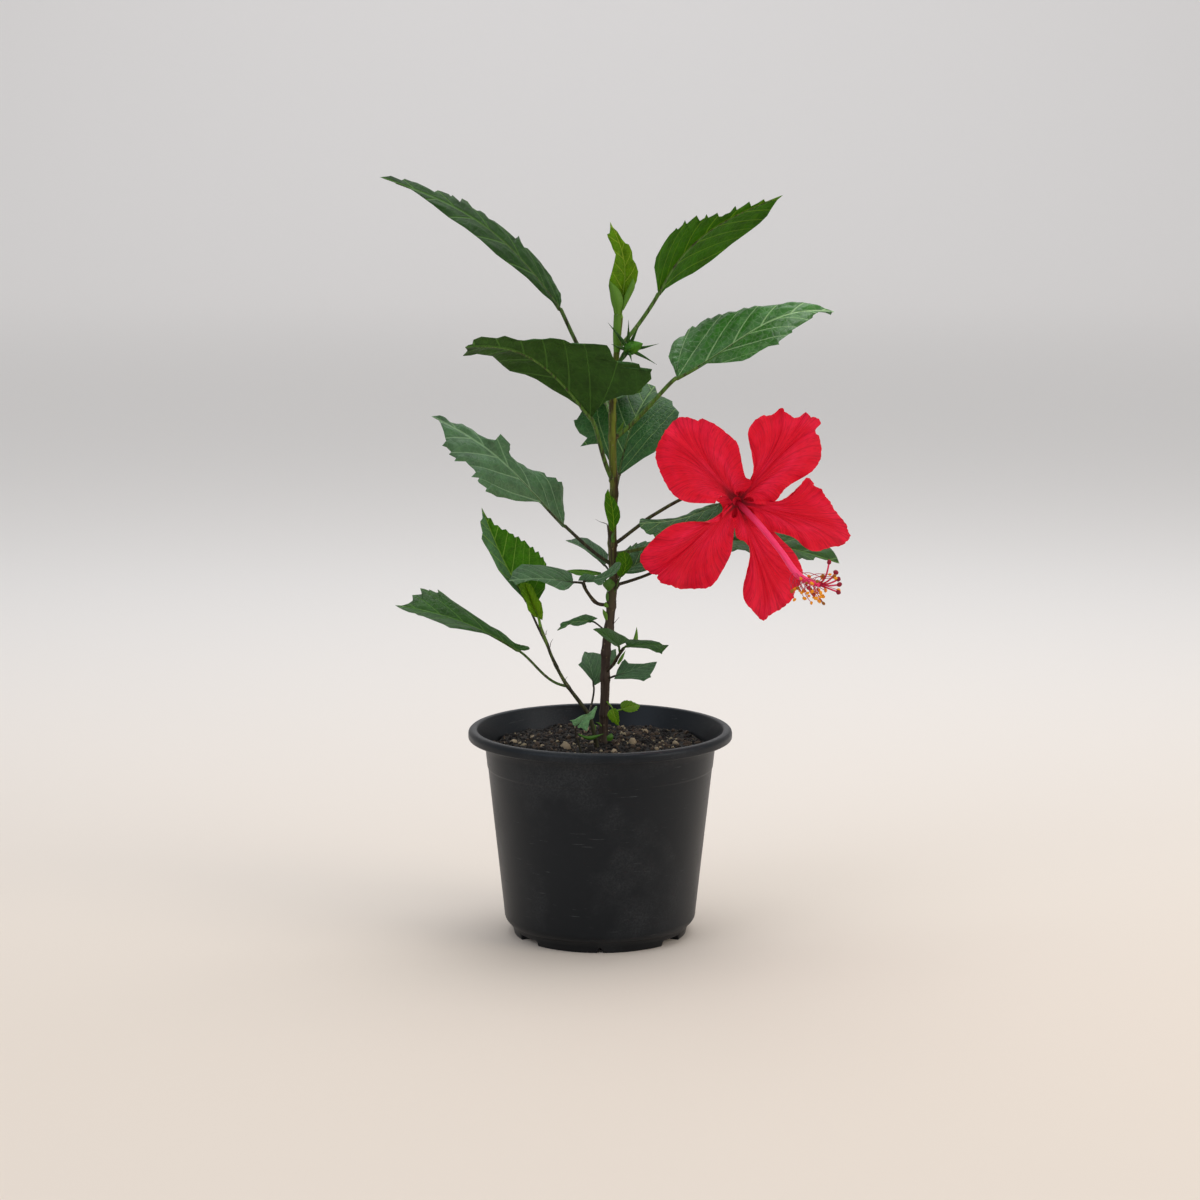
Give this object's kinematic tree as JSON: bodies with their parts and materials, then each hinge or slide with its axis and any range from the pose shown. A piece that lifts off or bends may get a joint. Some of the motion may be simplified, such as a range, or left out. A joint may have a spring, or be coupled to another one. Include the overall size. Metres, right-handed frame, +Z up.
{
  "type": "potted hibiscus shrub",
  "caption": "Young potted hibiscus shrub: an upright woody stem with toothed leaves on long stalks, a side shoot, a bud and an open red bloom, in a black nursery pot.",
  "frame": {"origin": "middle of the pot's flat underside", "axes": "+Z up along the pot's axis; -Y is the front, from which the open bloom is seen on the right"},
  "size_m": [0.296, 0.2048, 0.488],
  "materials": {
    "pot": "satin, lightly scuffed",
    "soil": "rough, crumbly",
    "bark": "matte, young bark",
    "leaf": "satin leaf surface",
    "young": "satin young leaf surface",
    "petal": "soft petal surface",
    "column": "soft, moist"
  },
  "bodies": {
    "root": {"calyx": "leaf", "flower_bud": "young", "flower_twig": "bark", "leaf_axil_left": "young", "leaf_axil_right": "young", "leaf_back_left": "leaf", "leaf_back_right": "leaf", "leaf_behind_bloom": "leaf", "leaf_behind_petal": "leaf", "leaf_behind_stem": "leaf", "leaf_beside_bloom": "leaf", "leaf_bottom_left": "leaf", "leaf_crown_tip": "young", "leaf_front_grey": "leaf", "leaf_left_grey": "leaf", "leaf_lime_roll": "young", "leaf_low_front_left": "leaf", "leaf_low_left": "leaf", "leaf_low_left_broad": "leaf", "leaf_low_right_lower": "leaf", "leaf_low_right_upper": "leaf", "leaf_middle_left": "leaf", "leaf_side_shoot": "leaf", "leaf_soil_left": "leaf", "leaf_soil_right": "young", "leaf_soil_yellow": "young", "leaf_stem_young": "young", "leaf_top_left": "leaf", "leaf_top_right": "leaf", "leaf_upper_back": "leaf", "leaf_upper_left": "leaf", "leaf_upper_right": "leaf", "left_twig": "bark", "low_shoot": "bark", "main_stem": "bark", "petal_bottom": "petal", "petal_lower_left": "petal", "petal_right": "petal", "petal_upper_left": "petal", "petal_upper_right": "petal", "pot": "pot", "side_shoot": "bark", "soil": "soil", "stamen_column": "column"}
  },
  "joints": []
}
